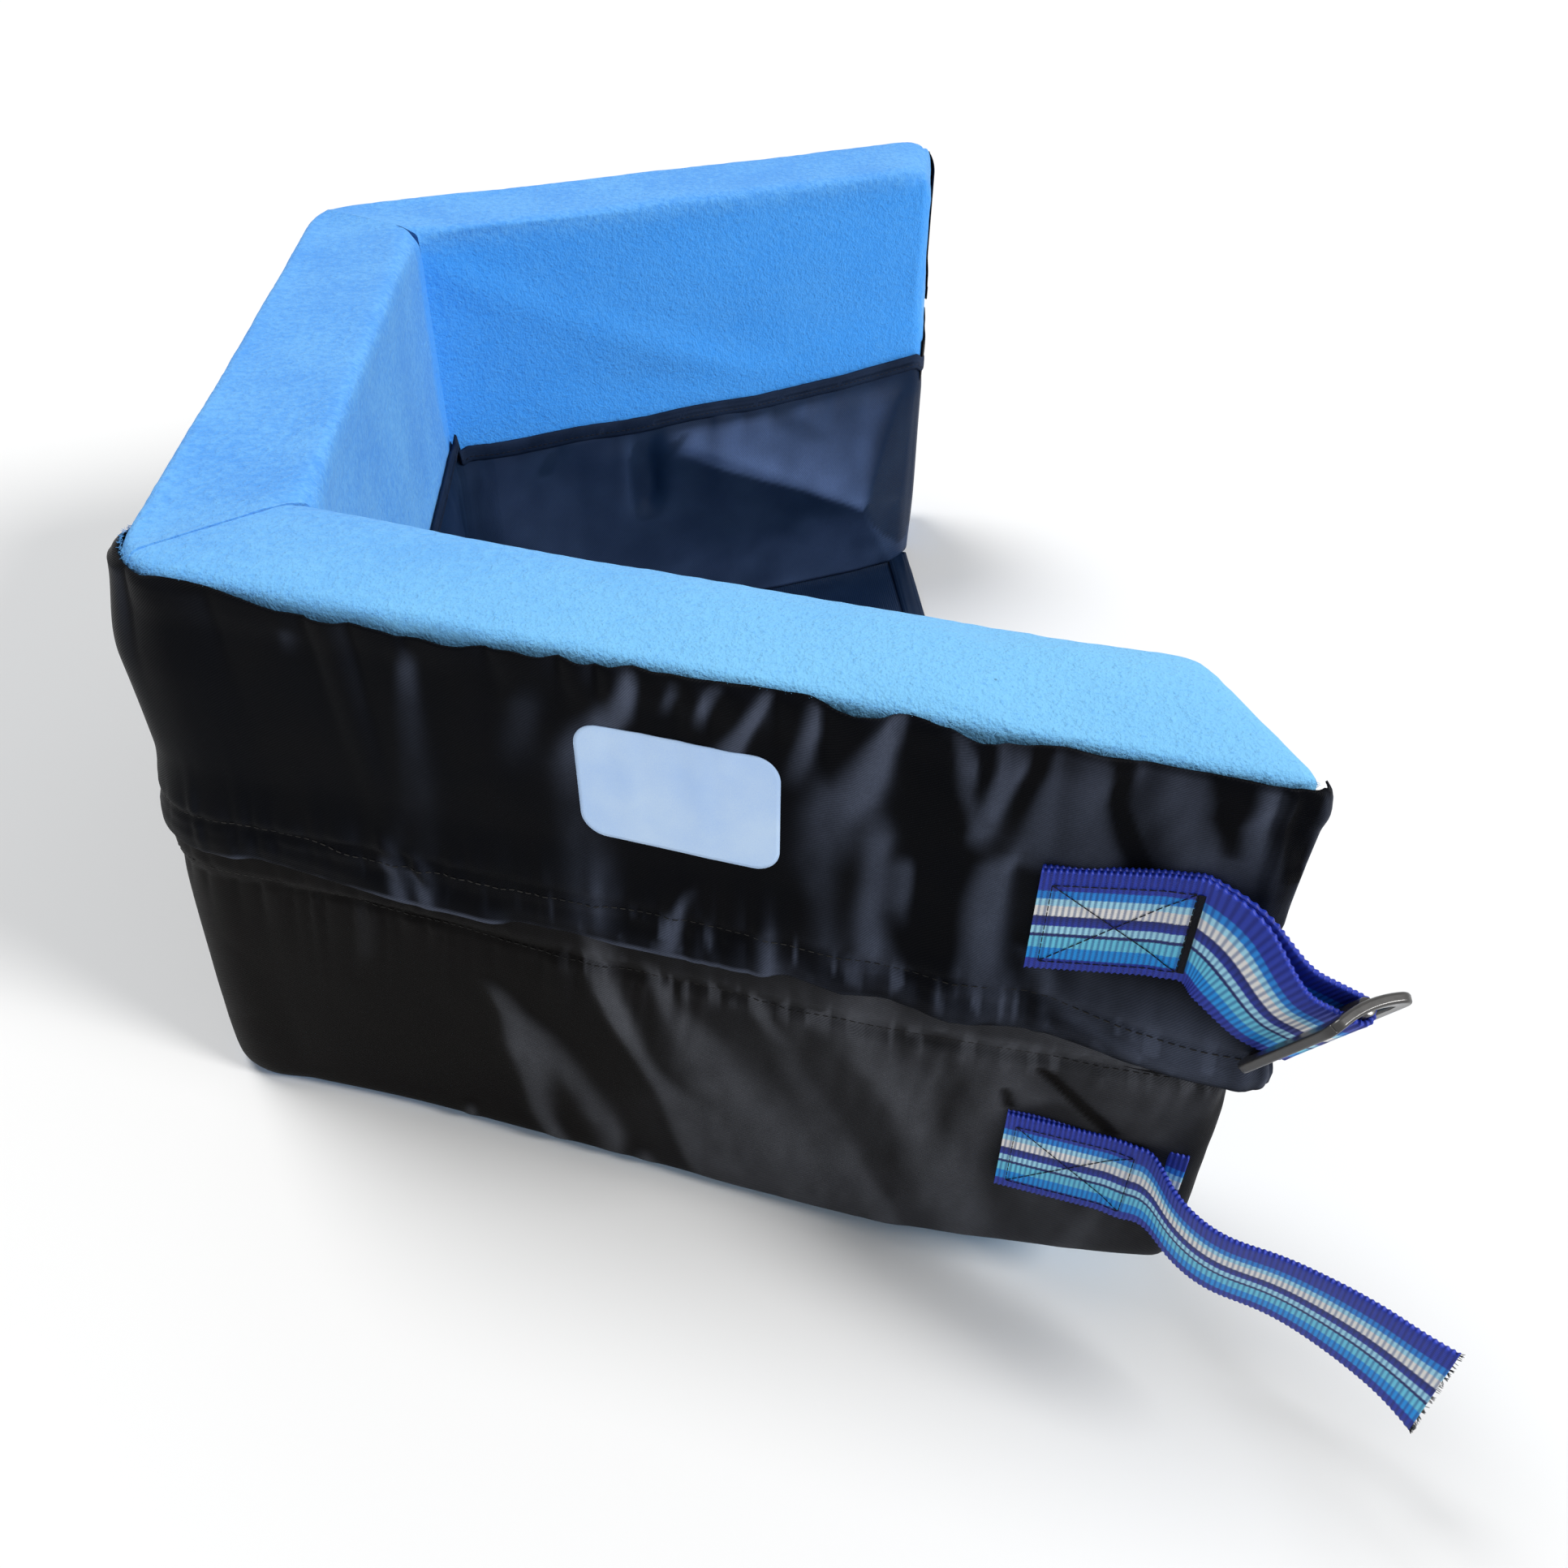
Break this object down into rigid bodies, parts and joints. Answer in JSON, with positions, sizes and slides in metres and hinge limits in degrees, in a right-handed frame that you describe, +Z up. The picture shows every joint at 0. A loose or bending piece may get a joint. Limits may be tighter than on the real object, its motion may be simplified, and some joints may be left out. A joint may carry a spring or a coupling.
{
  "type": "padded foot surround",
  "caption": "Three-sided fleece-covered foam surround with nylon shell, lined floor, buckle straps and free straps.",
  "frame": {"origin": "on the resting surface, on the mirror plane, 170 mm from the middle panel's outer face towards the open side", "axes": "+Z up, +X towards the open side, +Y along the middle panel"},
  "size_m": [0.3775, 0.6999, 0.236],
  "materials": {
    "foam": "open-cell polyurethane foam",
    "fleece": "anti-pill polyester fleece",
    "shell_nylon": "satin coated nylon twill",
    "liner_nylon": "satin coated nylon",
    "binding": "folded nylon binding tape",
    "closure_tape": "hook and loop tape",
    "reflective_film": "heat-applied silver reflective film",
    "webbing": "ribbed polyester webbing, striped",
    "slider_plastic": "moulded acetal"
  },
  "bodies": {
    "cushion": {"front_foam_core": "foam", "side_foam_core": "foam", "rear_foam_core": "foam", "front_fleece_cover": "fleece", "side_fleece_cover": "fleece", "rear_fleece_cover": "fleece", "upper_shell": "shell_nylon", "lower_shell": "shell_nylon", "closure_hook_tape": "closure_tape", "closure_loop_tape": "closure_tape", "front_end_facing": "shell_nylon", "rear_end_facing": "shell_nylon", "inner_liner": "liner_nylon", "liner_binding": "binding", "floor_panel": "liner_nylon", "floor_hem": "binding", "reflective_patch": "reflective_film", "front_upper_strap_base": "webbing", "front_lower_strap_base": "webbing", "rear_upper_strap_base": "webbing", "rear_lower_strap_base": "webbing"},
    "front_buckle_strap": {"front_upper_strap_bight": "webbing"},
    "front_slider": {"front_slider": "slider_plastic"},
    "front_free_strap": {"front_lower_strap_tail": "webbing"},
    "rear_buckle_strap": {"rear_upper_strap_bight": "webbing"},
    "rear_slider": {"rear_slider": "slider_plastic"},
    "rear_free_strap": {"rear_lower_strap_tail": "webbing"}
  },
  "joints": [
    {"name": "front_buckle_strap_swing", "type": "hinge", "parent": "cushion", "child": "front_buckle_strap", "pos_m": [0.13316, -0.28462, 0.1835], "axis": [0, 0, -1], "range_deg": [0, 100]},
    {"name": "front_slider_tilt", "type": "hinge", "parent": "front_buckle_strap", "child": "front_slider", "pos_m": [0.16446, -0.30565, 0.1667], "axis": [0.1775, -0.4345, 0.883], "range_deg": [-12, 45]},
    {"name": "front_free_strap_swing", "type": "hinge", "parent": "cushion", "child": "front_free_strap", "pos_m": [0.13783, -0.28641, 0.0695], "axis": [0, 0, -1], "range_deg": [-4, 110]},
    {"name": "rear_buckle_strap_swing", "type": "hinge", "parent": "cushion", "child": "rear_buckle_strap", "pos_m": [0.13316, 0.28462, 0.1835], "axis": [0, 0, 1], "range_deg": [-95, 5]},
    {"name": "rear_slider_tilt", "type": "hinge", "parent": "rear_buckle_strap", "child": "rear_slider", "pos_m": [0.10949, 0.31397, 0.1667], "axis": [0.4483, -0.1389, -0.883], "range_deg": [-12, 45]},
    {"name": "rear_free_strap_swing", "type": "hinge", "parent": "cushion", "child": "rear_free_strap", "pos_m": [0.13783, 0.28641, 0.0695], "axis": [0, 0, 1], "range_deg": [-104, 10]}
  ]
}
